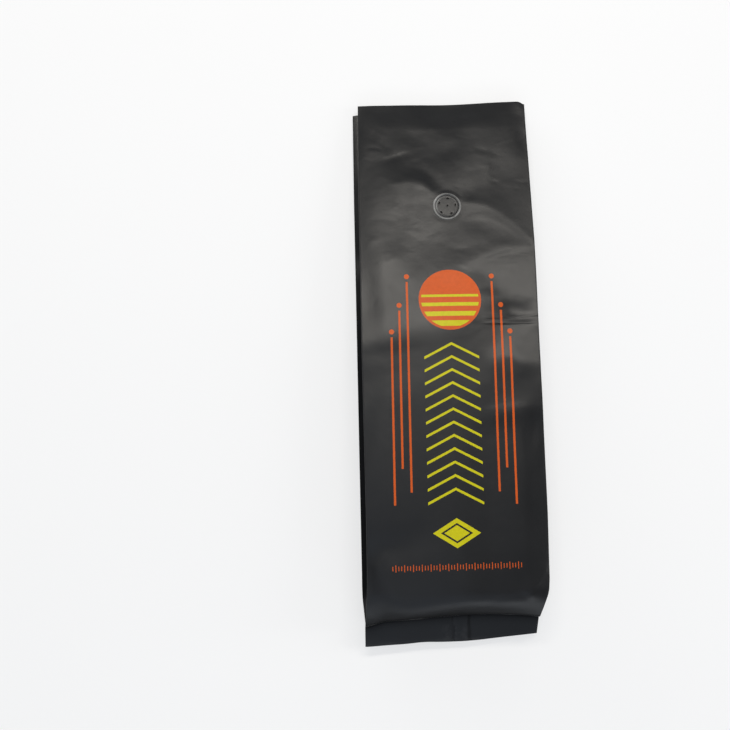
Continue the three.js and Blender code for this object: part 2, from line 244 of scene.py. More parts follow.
# soft dents and swells: x, y, height, reach across and along, turn
DENTS = [
    (12.5, 202.7, -0.11, 7.3, 5.5, -2), (25.5, 193.7, 1.50, 38.4, 26.7, -41),
    (-14.9, 190.9, 0.36, 9.6, 15.0, -67), (-54.6, 190.9, -1.50, 13.7, 21.0, 80), (-12.6, 181.1, -0.36, 7.4, 23.5, 82),
    (6.8, 178.6, -0.89, 12.5, 12.8, 45), (-46.5, 176.8, 0.45, 32.7, 8.3, -43), (-58.5, 175.1, -0.49, 39.2, 8.4, 46),
    (67.6, 173.8, 0.20, 4.1, 4.7, 87), (-62.2, 172.8, -0.38, 40.0, 20.4, 76), (-47.9, 172.0, -0.49, 8.6, 34.0, 82),
    (-61.9, 171.7, 0.57, 12.9, 6.7, 56), (-52.9, 171.4, 0.47, 27.6, 9.7, 72), (62.5, 168.8, -0.66, 7.9, 20.0, 4),
    (-59.5, 168.2, -0.47, 40.0, 22.3, 78), (-61.6, 167.9, 0.27, 39.4, 6.3, 83), (3.7, 157.4, -0.37, 8.6, 6.7, 18),
    (-37.6, 151.7, -0.21, 15.4, 4.1, 15), (-24.4, 148.2, -0.97, 36.6, 40.0, 84), (14.6, 147.4, 0.74, 39.1, 14.8, 30),
    (32.4, 140.9, 0.24, 11.5, 4.0, 84), (57.4, 134.7, -0.34, 13.7, 15.5, 71), (-9.5, 132.7, -0.42, 13.1, 5.1, -45),
    (-17.6, 132.3, 0.35, 9.2, 5.2, -10), (-27.9, 126.9, 1.05, 21.8, 23.8, 11), (-15.3, 126.3, 0.38, 32.2, 10.9, -22),
    (17.2, 122.5, -0.43, 11.0, 7.5, 11), (-31.8, 108.7, -0.33, 28.5, 4.6, 82), (34.1, 107.1, 0.70, 29.7, 12.3, -40),
    (4.9, 93.7, -0.10, 37.0, 5.4, -80), (-0.8, 88.6, -0.51, 40.0, 14.2, 34), (39.6, 76.4, 0.62, 40.0, 11.3, -24),
    (39.9, 71.4, -0.26, 20.7, 4.5, 15), (50.4, 70.7, -0.17, 40.0, 7.0, -20), (-40.6, 70.4, 0.44, 11.6, 9.5, 40),
    (21.3, 68.7, 0.41, 29.8, 7.3, 22), (33.5, 52.8, -0.47, 18.7, 7.5, -21), (29.4, 46.0, -0.45, 12.1, 5.4, -3),
    (20.0, 32.6, -0.44, 28.8, 9.7, -36), (-57.4, 31.1, -1.06, 35.0, 11.1, -87), (11.5, 30.6, 1.50, 31.3, 19.5, 46),
    (57.7, 28.5, -0.17, 8.9, 4.8, 70), (49.0, 28.2, -1.07, 14.3, 9.1, -31), (13.2, 24.9, 0.17, 20.4, 3.6, -11),
    (60.7, 19.5, 0.35, 13.6, 4.6, -3), (-73.1, 3.5, 1.50, 38.6, 21.0, 22), (29.9, -0.3, -0.24, 21.0, 8.0, 50),
    (-53.3, -2.0, -0.30, 21.7, 7.1, 5), (-30.7, -8.1, -0.44, 40.0, 15.1, 17), (48.6, -8.9, 1.00, 22.4, 10.4, -10),
    (42.4, -10.2, -0.33, 8.0, 6.8, -7), (68.1, -26.3, 0.33, 10.7, 9.0, -12), (41.0, -46.2, 0.55, 18.5, 8.0, 10),
    (57.2, -60.4, -0.66, 5.3, 13.6, -7), (-68.3, -80.0, -0.63, 40.0, 5.9, 72),
    (-52.0, -144.0, -1.26, 25.2, 11.0, 20),
    (-66.8, -163.9, -1.50, 40.0, 9.7, -72), (8.2, -171.8, 1.50, 40.0, 24.6, -25),
]

SMALL = []
for _ in range(46):
    cx, cy = RNG.uniform(-60, 60), RNG.uniform(35, 186)
    turn, n = RNG.normal(0.0, 0.5), RNG.uniform(5, 15)
    dx, dy = n * math.cos(turn), n * math.sin(turn)
    bend = RNG.normal(0, 0.12) * n
    SMALL.append(
        (
            [(cx - dx, cy - dy), (cx - bend * math.sin(turn), cy + bend), (cx + dx, cy + dy)],
            RNG.choice([-1, 1]) * RNG.uniform(0.02, 0.06),
            RNG.uniform(3.5, 8),
            RNG.uniform(3.5, 8),
            0.5,
            n * 0.6,
            n * 0.6,
        )
    )


for _ in range(80):
    cx, cy = RNG.uniform(-61, 62), RNG.uniform(28, 190)
    turn, n = RNG.normal(0.0, 0.75), RNG.uniform(2.5, 8)
    dx, dy = n * math.cos(turn), n * math.sin(turn)
    bend = RNG.normal(0, 0.15) * n
    SMALL.append(
        (
            [(cx - dx, cy - dy), (cx - bend * math.sin(turn), cy + bend), (cx + dx, cy + dy)],
            RNG.choice([-1, 1]) * RNG.uniform(0.018, 0.050),
            RNG.uniform(1.6, 3.4),
            RNG.uniform(1.6, 3.4),
            0.25,
            n * 0.6,
            n * 0.6,
        )
    )


def loose(x, y):
    """Height of the folds, creases and waves over the panel's plain form."""
    w = np.zeros(x.shape)
    for points, h, a, b, radius, start, end in FOLDS + SMALL:
        w += ridge(x, y, points, h, a, b, radius, start, end)
    for d in DENTS:
        w += dent(x, y, *d)
    upper = smooth(-60, 60, y)
    w += noise(x * 0.8, y * 1.25, 17, 5) * mix(0.012, 0.030, upper)
    w += (0.0085 * noise(x, y, 6.0, 71) + 0.0040 * noise(x, y, 3.6, 72)) * mix(0.4, 1.0, upper)  # fine crumple
    w += 0.05 * noise(x * 2.2, y * 0.25, 26, 8) * (1 - upper)  # faint upright waves
    return w


# the stiff valve holds the film under it flat
_turn = np.linspace(0, 2 * math.pi, 48, endpoint=False)
_rx, _ry = 11.25 * np.cos(_turn), 11.25 * np.sin(_turn)
_flat = np.linalg.lstsq(np.stack([np.ones(48), _rx, _ry], 1), loose(VALVE_X + _rx, VALVE_Y + _ry), rcond=None)[0]
_flat[2] += 0.015


def wrinkles(x, y):
    w = loose(x, y)
    dx, dy = x - VALVE_X, y - VALVE_Y
    plane = _flat[0] + _flat[1] * dx + _flat[2] * dy
    away = np.hypot(dx, dy)
    return np.where(away < 14, plane + (w - plane) * smooth(9.8, 13.5, away), w)


def front_height(r, y, e, x):
    t = along(y)
    body = profile(y + 15.9 * smooth(5, 60, x) * np.exp(-((y / 60.0) ** 2)))
    # flat in the middle, with the strips beside the folds bent down
    low, up = 1 - smooth(-80, -34, y), smooth(-60, 20, y)
    bend = x - np.interp(y, *np.array(STRIP).T)
    right = -0.26 * smooth(0.58, 1.25, r) * (1 - low) + low * STRIP_SLOPE * 1.8 * np.logaddexp(0, bend / 1.8)
    left = 1.55 * smooth(0.72, 1.25, -r) * mix(0.76, 2.49, up)
    body = body - CROWN * (1 - t * t) * r * r - right - left - MOUTH_TILT * t * r
    # the right side sinks below the crease that crosses it
    body = body - 0.9 * (1 - smooth(-68, -22, y)) * smooth(2, 26, x)
    # the lip sags in the middle of the mouth
    body = body - LIP_SAG * np.exp(-(((r - 0.06) / 0.5) ** 2)) * smooth(174, 207, y)
    # and its edge curls back up there, and down at the left
    curl = 0.011 * np.exp(-(((r - 0.08) / 0.42) ** 2)) - 0.004 * np.exp(-(((r + 0.74) / 0.25) ** 2))
    body = body + curl * np.clip(y - 185, 0, None) ** 2
    # the end wall climbs from the crease, and the panel rolls over into it
    foot = fin_z(r) + FIN_T / 2
    on_left, on_right = smooth(0.45, 0.95, -r), smooth(0.5, 1.0, r)
    roll = ROLL + 6.0 * on_left + 5.0 * on_right
    drop = ROLL_DROP + 5.2 * on_left + 1.6 * on_right
    power = 2.2 - 0.6 * on_left - 0.5 * on_right
    bent = body - drop * (1 - np.clip((e - LEAN) / roll, 0, 1)) ** power
    bent = bent - power * drop / roll * np.clip(LEAN - e, 0, None)
    z = mix(foot, bent, 1 - (1 - np.clip(e / LEAN, 0, 1)) ** 1.25)
    z = z - FIN_DROOP * np.clip(crease(r) - y, 0, None) / 20.0
    z = z + wrinkles(x, y) * smooth(1, 16, e)
    # the seam's layers show through the bottom seal
    low = 1 - smooth(-2, 6, e)
    flap = mix(0.16, 0.40, (x - SEAM_A) / (SEAM_B - SEAM_A)) * smooth(SEAM_A, SEAM_A + 0.8, x) * (1 - smooth(SEAM_B - 0.5, SEAM_B + 0.5, x))
    z = z + low * (flap - 0.30 * np.exp(-(((x - SEAM_A) / 0.55) ** 2)))
    return z


def back_height(r, y, e, x):
    lift = BACK_LIFT * smooth(BACK_FLAT, 1, np.abs(r))
    flat = BACK_Z + lift + 0.16 * (noise(x, y, 40, 11) + 1.2).clip(0, 3) + 0.05 * noise(x, y, 15, 12)
    for points, h, a, b in (
        ([(-60, 70), (-30, 82), (-6, 78)], 0.55, 9, 14),
        ([(60, -20), (40, -36), (14, -34)], 0.5, 12, 8),
        ([(58, 120), (36, 108), (16, 112)], 0.45, 8, 10),
        ([(-58, -90), (-36, -78), (-8, -84)], 0.5, 10, 12),
    ):
        flat = flat + ridge(x, y, points, h, a, b, 0.9, 14, 10)
    z = mix(fin_z(r) - FIN_T / 2 - FIN_DROOP * np.clip(crease(r) - y, 0, None) / 20.0, flat, smooth(0, UNDER, e))
    flap = smooth(SEAM_A - 0.35, SEAM_A, x) * (1 - smooth(SEAM_B, SEAM_B + 0.35, x))
    return z - SEAM_T * flap


# ---------------------------------------------------------------- the film as one mesh


def spaced(lo, hi, n, weight):
    """n + 1 values from lo to hi, closer together where weight is large."""
    t = np.linspace(lo, hi, 4001)
    w = weight(t)
    c = np.r_[0, np.cumsum((w[1:] + w[:-1]) / 2)]
    return np.interp(np.linspace(0, c[-1], n + 1), c, t)


NB = 58  # columns of the back panel; the front has twice as many
NG = 13  # columns of each half gusset
columns = spaced(
    -1,
    1,
    2 * NB,
    lambda t: 1
    + 1.8 * np.exp(-(((t - SEAM_A / HALF) / 0.016) ** 2))
    + 0.9 * np.exp(-(((t - SEAM_B / HALF) / 0.02) ** 2))
    + 0.8 * np.exp(-(((1 - np.abs(t)) / 0.05) ** 2)),
)
r_front = columns
r_back = columns[::2]
fin_rows = np.linspace(-1, 0, 15)[:-1]
LENGTH = MOUTH_Y - CREASE_Y
edge_rows = np.r_[np.linspace(0, LEAN, 14), 2.8, 3.2, 3.7, 4.3, 5.0, 5.8, 6.6, 7.5, 8.4, 9.4, 10.5, 11.7] / LENGTH
# closer rows where the film is creased
ROW_WEIGHT = [(-190, 1.2), (-176, 1.0), (-160, 0.6), (-60, 0.6), (-50, 0.9), (0, 1.0), (13, 1.2), (16, 3.3), (28, 3.3), (32, 1.2), (54, 1.2), (58, 1.6), (140, 1.6), (165, 1.7), (180, 1.3), (197, 1.5)]
body_rows = np.r_[
    edge_rows,
    spaced(13.0 / LENGTH, 1, 328, lambda t: np.interp(CREASE_Y + t * LENGTH, *np.array(ROW_WEIGHT).T)),
]
rows = np.r_[fin_rows, body_rows]


def rows_for(r, lag):
    """y and distance above the crease at every row, for columns r with that lag at the mouth."""
    q = rows[:, None]
    body = mix(crease(r), mouth(r) - lag, np.clip(q, 0, 1))
    fin = mix(fin_edge(r), crease(r), np.clip(q + 1, 0, 1))
    y = np.where(q < 0, fin, body)
    return y, np.clip(y - crease(r), 0, None)


def side_lines(y, e):
    """x of the four side folds."""
    open_ = np.clip(e / WALL, 0, 1)
    open_ = open_ - 0.06 * np.exp(-(((open_ - 1) / 0.10) ** 2)) * (e > 0)
    open_ = np.where(e > 1.35 * WALL, 1.0, mix(open_, 1.0, smooth(1.0, 1.35, e / WALL)))
    bulge = BULGE * np.sin(math.pi * along(y))
    shift = np.interp(y, *np.array(BACK_SHIFT).T) * open_
    fl = -HALF - bulge - 0.7 * (1 - smooth(0, 30, e)) + np.interp(y, *np.array(LEFT_IN).T)
    fin_in = FIN_INSET + FIN_TAPER * np.clip((crease(1.0) - y) / 13, 0, 1)
    inset = mix(fin_in, BODY_INSET, np.clip(e / LEAN, 0, 1))
    fr = HALF - inset * (1 - open_) + bulge - np.interp(y, *np.array(RIGHT_IN).T) * open_
    bl = -HALF + shift
    br = HALF - fin_in * (1 - open_) + shift
    return fl, fr, bl, br


def panel(r, lag, front):
    y, e = rows_for(r[None, :], lag)
    fl, fr, bl, br = side_lines(y, e)
    lo, hi = (fl, fr) if front else (bl, br)
    x = mix(lo, hi, (r[None, :] + 1) / 2)
    z = (front_height if front else back_height)(r[None, :] + 0 * y, y, e, x)
    if front:
        # soft pleats in the end wall
        h = np.clip(e / LEAN, 0, 1)
        out = np.sin(math.pi * h) * (1 - np.abs(r[None, :]) ** 5)
        y = y - out * (0.30 * noise(x, 6 * h, 13, 61) + 0.15 * noise(x, 4 * h, 6, 62))
    return np.stack([x, y, z], -1)


front_p = panel(r_front, 0.0, True)
back_p = panel(r_back, MOUTH_LAG, False)


def dog_ear(p):
    """The front lip's right corner is turned up and cut at a slant, with its tip pushed forward."""
    x, y = p[..., 0], p[..., 1]
    lip = smooth(184, 197, y)
    p[..., 1] += (0.5 * smooth(20, 55, x) - 2.3 * smooth(56.5, 63.6, x) ** 2) * lip
    p[..., 2] += 0.5 * smooth(50, 60, x) * lip
    return p


front_p = dog_ear(front_p)


def fold_arc(a, sign, up):
    """Film round a side fold that starts at a: three points on a half circle and its far end."""
    gap = np.abs(up)[:, None]
    out = []
    for angle in (35, 90, 145, 180):
        t = math.radians(angle)
        p = a.copy()
        p[:, 0] += sign * gap[:, 0] * math.sin(t)
        p[:, 2] -= up * (1 - math.cos(t))
        out.append(p)
    return out


def gusset(f, b, sign, seed):
    """Columns from the front fold f into the gusset's fold and out to the back fold b."""
    gap = np.clip((f[:, 2] - b[:, 2]) / 5.0, 0.02, FOLD_R)
    first = fold_arc(f, sign, gap)
    last = fold_arc(b, sign, -gap)[::-1]
    p, q = first[-1], last[0]
    y = (p[:, 1] + q[:, 1]) / 2
    e = np.clip(y - crease(sign), 0, None)
    deep = GUSSET_IN * smooth(0, GUSSET_RUN, e) * (1 + 0.03 * noise(y, 0 * y, 60, seed))
    inner = (p + q) / 2
    inner[:, 0] -= sign * deep
    inner[:, 2] += 0.07 * (f[:, 2] - b[:, 2]) * noise(y, 0 * y + 9, 75, seed + 1)
    out = []
    for half, (a, c) in enumerate(((p, inner), (inner, q))):
        room = np.clip((f[:, 2] - b[:, 2]) * 0.09, 0, 2.6)
        for k in range(1, NG + 1):
            t = (k / NG) ** 1.7 if half == 0 else 1 - (1 - k / NG) ** 1.7
            if half == 1 and k == NG:
                break
            m = mix(a, c, t)
            if half == 1:
                run = (1 - t) * deep
                m[:, 2] += (0.13 * smooth(40, 120, y) + 0.08 * smooth(140, 185, y)) * run * np.exp(-((run / 9.0) ** 2))
            lump = noise(y, 0 * y + 40 * t + 90 * half, 34, seed + 2) * 0.55 + noise(y + 14 * t, 0 * y + 24 * t, 15, seed + 3) * 0.24 + noise(y - 9 * t, 0 * y + 12 * t, 7, seed + 4) * 0.07
            bow = math.sin(math.pi * t) * room * (0.55 + lump)
            m[:, 2] += bow if half == 0 else -bow
            out.append(m)
    return first[:-1] + [first[-1]] + out + [last[0]] + last[1:]


left_f, right_f = front_p[:, 0], front_p[:, -1]
left_b, right_b = back_p[:, 0], back_p[:, -1]
right_g = gusset(right_f, right_b, 1.0, 31)
left_g = gusset(left_f, left_b, -1.0, 47)

# the loop round the pouch: front left to right, right gusset down, back right to left, left gusset up
lanes = [front_p[:, k] for k in range(front_p.shape[1])]
n_front = len(lanes)
lanes += right_g
n_right = len(lanes)
lanes += [back_p[:, k] for k in range(back_p.shape[1] - 1, -1, -1)]
n_back = len(lanes)
lanes += left_g[::-1]
grid = np.stack(lanes, 1)  # rows, lanes, xyz
NR, NL = grid.shape[:2]
print("film grid", NR, NL)

# inside of the lips: the same film one thickness further in, a short way down the mouth
LIP_T, LIP_ROWS = 0.24, 20


def grid_normals(g):
    du = np.roll(g, -1, 1) - np.roll(g, 1, 1)
    dv = np.gradient(g, axis=0)
    n = np.cross(du, dv)
    return n / np.maximum(np.linalg.norm(n, axis=2, keepdims=True), 1e-9)


normal = grid_normals(grid)
lip = (grid - LIP_T * normal)[NR - LIP_ROWS :][::-1]
full = np.concatenate([grid, lip], 0)

# panel coordinates for the print and the finish: x, y on the front, and how near a fold is
web = np.zeros(full.shape)
web[..., 0], web[..., 1] = full[..., 0], full[..., 1]
is_front = np.zeros((full.shape[0], NL))
is_front[:NR, :n_front] = 1.0
web[..., 2] = is_front

worn = np.zeros(full.shape[:2])
for k, rub in ((0, 0.1), (n_front - 1, 0.35), (n_right, 0.35), (n_back - 1, 0.05)):
    span = (np.arange(NL) - k + NL // 2) % NL - NL // 2
    worn = np.maximum(worn, rub * np.exp(-((span / 2.0) ** 2))[None, :] * np.ones((full.shape[0], 1)))
worn[:2] = np.maximum(worn[:2], 0.5)
worn[NR - 1 : NR + 1] = np.maximum(worn[NR - 1 : NR + 1], 0.4)
fx, fy = front_p[..., 0], front_p[..., 1]
fold_worn = np.zeros(fx.shape)
for points, h, a, b, radius, start, end in [FOLDS[k] for k in SHARP]:
    line, length = curve_through(points)
    d, run = to_line(fx, fy, line)
    fold_worn = np.maximum(fold_worn, 0.25 * np.exp(-((d / 0.9) ** 2)) * smooth(0, 10, run) * smooth(0, 10, length - run))
worn[:NR, :n_front] = np.maximum(worn[:NR, :n_front], fold_worn)
# the seam's layers look paler where the seal is pressed over them
pressed = np.maximum(0.9 * smooth(-13.5, -2.0, fx) * (fx < SEAM_A), 0.75 * (fx > SEAM_A + 0.6) * (1 - smooth(SEAM_B - 1.6, SEAM_B - 0.4, fx)))
worn[:NR, :n_front] = np.maximum(worn[:NR, :n_front], pressed * (1 - smooth(-199.6, -198.4, fy)))
# painted shade, matt and dark, in the crease over the seal, on the top of the seal below it and along the seam line
# across the seal
deep = np.zeros(full.shape[:2])
_, above = rows_for(r_front[None, :], 0.0)
below = np.clip(crease(r_front[None, :]) - fy, 0, None) * (above <= 0)
deep[:NR, :n_front] = np.where(above > 0, (1 - smooth(LEAN - 0.6, LEAN + 2.0 + 2.6 * np.exp(-(((r_front[None, :] + 0.1) / 0.45) ** 2)), above)), np.maximum(np.exp(-below / 2.6), 0.5 * np.exp(-(((fx - SEAM_A) / 0.6) ** 2)) * (1 - smooth(-199.6, -198.0, fy))))
# and painted shade in the left gusset, beside its lower fold
side = full[:NR, n_back : n_back + 5 + NG]
reach = np.abs(side[..., 0] - side[:, :1, 0])
deep[:NR, n_back : n_back + 5 + NG] = 0.85 * (1 - smooth(3, 9, reach)) * (1 - smooth(40, 110, side[..., 1]))
sealed = np.zeros(full.shape[:2])
sealed[:NR] = np.clip(1 - smooth(-0.12, 0.0, rows), 0, 1)[:, None]


def film_mesh():
    n_rows = full.shape[0]
    verts = ((full + SHIFT) * MM).reshape(-1, 3)
    at = np.arange(n_rows * NL).reshape(n_rows, NL)
    nxt = np.roll(at, -1, 1)
    quads = np.stack([at[:-1], nxt[:-1], nxt[1:], at[1:]], -1).reshape(-1, 4)
    faces = [tuple(q) for q in quads.tolist()]
    # the seal's lower edge: back columns meet every second front column
    row = at[0]
    front, back = row[:n_front], row[n_right:n_back][::-1]
    for k in range(NB):
        faces.append((int(front[2 * k + 1]), int(front[2 * k]), int(back[k])))
        faces.append((int(front[2 * k + 1]), int(back[k]), int(back[k + 1])))
        faces.append((int(front[2 * k + 2]), int(front[2 * k + 1]), int(back[k + 1])))
    right, left = row[n_front:n_right], row[n_back:]
    faces.append(tuple(int(v) for v in [front[-1], back[-1], *right[::-1]]))
    faces.append(tuple(int(v) for v in [back[0], front[0], *left[::-1]]))
    # far end of the lips' inside, where the layers meet in the dark
    end = at[-1]
    faces.append(tuple(int(v) for v in end))
    mesh = bpy.data.meshes.new("pouch_film")
    mesh.from_pydata([tuple(v) for v in verts.tolist()], [], faces)
    mesh.validate()
    return mesh


film = bpy.data.objects.new("pouch_film", film_mesh())
bpy.context.scene.collection.objects.link(film)
mesh = film.data
attribute = mesh.attributes.new("web", "FLOAT_VECTOR", "POINT")
attribute.data.foreach_set("vector", web.reshape(-1).astype(np.float32))
# deep carries the painted shade of the crease over the seal and of the left gusset
for name, values in (("worn", worn), ("sealed", sealed), ("deep", deep)):
    attribute = mesh.attributes.new(name, "FLOAT", "POINT")
    attribute.data.foreach_set("value", values.reshape(-1).astype(np.float32))
mesh.polygons.foreach_set("use_smooth", [True] * len(mesh.polygons))
mesh.set_sharp_from_angle(angle=math.radians(38))

# the flat web as the layout for baked finishes: the front panel takes half of it
lane_u = np.zeros(NL + 1)
shares = [(0, n_front - 1, 0.0, 0.5), (n_front - 1, n_right, 0.5, 0.62), (n_right, n_back - 1, 0.62, 0.88), (n_back - 1, NL, 0.88, 1.0)]
for a, b, u0, u1 in shares:
    lane_u[a : b + 1] = np.linspace(u0, u1, b - a + 1)
lane_u[:n_front] = (columns + 1) / 4
row_v = np.r_[np.linspace(0.0, 0.05, len(fin_rows), endpoint=False), 0.05 + 0.91 * body_rows, 0.965 + 0.034 * np.linspace(0, 1, LIP_ROWS)]
uv = mesh.uv_layers.new(name="OFBake")
loops = np.zeros(len(mesh.loops), np.int32)
mesh.loops.foreach_get("vertex_index", loops)
coords = np.stack([lane_u[loops % NL], row_v[loops // NL]], -1)
starts = np.zeros(len(mesh.polygons), np.int32)
totals = np.zeros(len(mesh.polygons), np.int32)
mesh.polygons.foreach_get("loop_start", starts)
mesh.polygons.foreach_get("loop_total", totals)
for s, n in zip(starts, totals):
    if n == 4:
        u = coords[s : s + 4, 0]
        if u.max() - u.min() > 0.5:
            coords[s : s + 4, 0] = np.where(u < 0.5, 1.0, u)
uv.data.foreach_set("uv", coords.reshape(-1).astype(np.float32))

# ---------------------------------------------------------------- material helpers


class Sum:
    """A value in a node tree that can be added, multiplied and compared in plain Python."""

    def __init__(self, tree, socket):
        self.tree, self.socket = tree, socket

    def op(self, kind, *others, clamp=False):
        node = self.tree.nodes.new("ShaderNodeMath")
        node.operation = kind
        node.use_clamp = clamp
        self.tree.links.new(self.socket, node.inputs[0])
        for k, o in enumerate(others, 1):
            if isinstance(o, Sum):
                self.tree.links.new(o.socket, node.inputs[k])
            else:
                node.inputs[k].default_value = float(o)
        return Sum(self.tree, node.outputs[0])

    def __add__(self, o):
        return self.op("ADD", o)

    def __sub__(self, o):
        return self.op("SUBTRACT", o)

    def __mul__(self, o):
        return self.op("MULTIPLY", o)

    def __abs__(self):
        return self.op("ABSOLUTE")

    def under(self, o, edge=0.12):
        """1 where this is under o, over a soft edge of that width."""
        node = self.tree.nodes.new("ShaderNodeMapRange")
        node.interpolation_type = "SMOOTHSTEP"
        self.tree.links.new(self.socket, node.inputs["Value"])
        node.inputs["From Min"].default_value = o + edge
        node.inputs["From Max"].default_value = o - edge
        node.inputs["To Min"].default_value = 0.0
        node.inputs["To Max"].default_value = 1.0
        return Sum(self.tree, node.outputs["Result"])

    def over(self, o, edge=0.12):
        return self.under(o, -edge)

    def either(self, o):
        return self.op("MAXIMUM", o)

    def both(self, o):
        return self.op("MULTIPLY", o)


def new_material(name):
    mat = bpy.data.materials.new(name)
    mat.use_nodes = True
    tree = mat.node_tree
    bsdf = tree.nodes["Principled BSDF"]
    return mat, tree, bsdf


def noise_node(tree, vector, scale, detail=2.0, rough=0.5, out="Fac"):
    node = tree.nodes.new("ShaderNodeTexNoise")
    node.inputs["Scale"].default_value = scale
    node.inputs["Detail"].default_value = detail
    node.inputs["Roughness"].default_value = rough
    tree.links.new(vector, node.inputs["Vector"])
    return node.outputs[out]


def ranged(tree, socket, a, b, c, d):
    node = tree.nodes.new("ShaderNodeMapRange")
    tree.links.new(socket, node.inputs["Value"])
    for k, v in zip(("From Min", "From Max", "To Min", "To Max"), (a, b, c, d)):
        node.inputs[k].default_value = v
    return node.outputs["Result"]


def mixed(tree, fac, a, b):
    node = tree.nodes.new("ShaderNodeMix")
    node.data_type = "RGBA"
    if isinstance(fac, float):
        node.inputs["Factor"].default_value = fac
    else:
        tree.links.new(fac, node.inputs["Factor"])
    for key, v in (("A", a), ("B", b)):
        socket = [s for s in node.inputs if s.name == key and s.type == "RGBA"][0]
        if isinstance(v, tuple):
            socket.default_value = (*v, 1.0)
        else:
            tree.links.new(v, socket)
    return [s for s in node.outputs if s.type == "RGBA"][0]


BLACK = (0.0062, 0.0065, 0.0074)
BLACK_2 = (0.0080, 0.0082, 0.0090)
WORN = (0.058, 0.057, 0.056)
ORANGE = (0.66, 0.105, 0.014)
YELLOW = (0.63, 0.575, 0.008)


def print_masks(tree, x, y, front):
    """The printed design: a barred sun, a ladder of chevrons, pinstripes, a rhombus and a row of ticks."""
    ax = abs(x)
    # sun
    dy = y - 38.0
    dist = (x * x + dy * dy).op("SQRT")
    disc = dist.under(23.0)
    bars = None
    for at, half in ((41.0, 0.95), (34.4, 1.35), (27.2, 1.75), (20.0, 2.1)):
        bar = abs(y - at).under(half)
        bars = bar if bars is None else bars.either(bar)
    bars = bars.both(dist.under(21.2))
    # chevrons
    step = (y + ax * 0.52).op("WRAP", 9.6, 0.0)
    chevron = abs(step - 4.8).under(0.98).both(ax.under(20.0))
    chevron = chevron.both(y.over(-117.0).both((y + ax * 0.52).under(9.2)))
    chevron = chevron.both((y + ax * 0.52).over(-107.0))
    # pinstripes
    lines = None
    for at, lo, hi, half in ((31.5, -103.0, 52.0, 0.78), (37.5, -86.0, 30.0, 0.78), (43.5, -112.0, 10.0, 0.78)):
        mid, span = (lo + hi) / 2, (hi - lo) / 2
        line = abs(ax - at).under(half).both(abs(y - mid).under(span))
        tip = (ax - at) * (ax - at) + (y - (hi + 4.0)) * (y - (hi + 4.0))
        line = line.either(tip.op("SQRT").under(1.9))
        lines = line if lines is None else lines.either(line)
    # rhombus
    rh = ax * 0.62 + abs(y + 132.0)
    rhombus = rh.under(10.6).both(abs(rh - 6.4).over(0.75))
    # ticks, each third one taller
    beat = (x + 1.55).op("WRAP", 6.2, 0.0)
    level = abs(y + 155.6 - x * 0.016)
    tall = abs(beat - 1.1).under(0.28).both(level.under(2.5))
    short = abs(beat - 3.2).under(0.28).either(abs(beat - 5.2).under(0.28)).both(level.under(1.6))
    ticks = tall.either(short).both(ax.under(46.6))
    orange = disc.op("SUBTRACT", bars, clamp=True).either(lines).either(ticks)
    yellow = bars.either(chevron).either(rhombus)
    return orange.both(front), yellow.both(front)


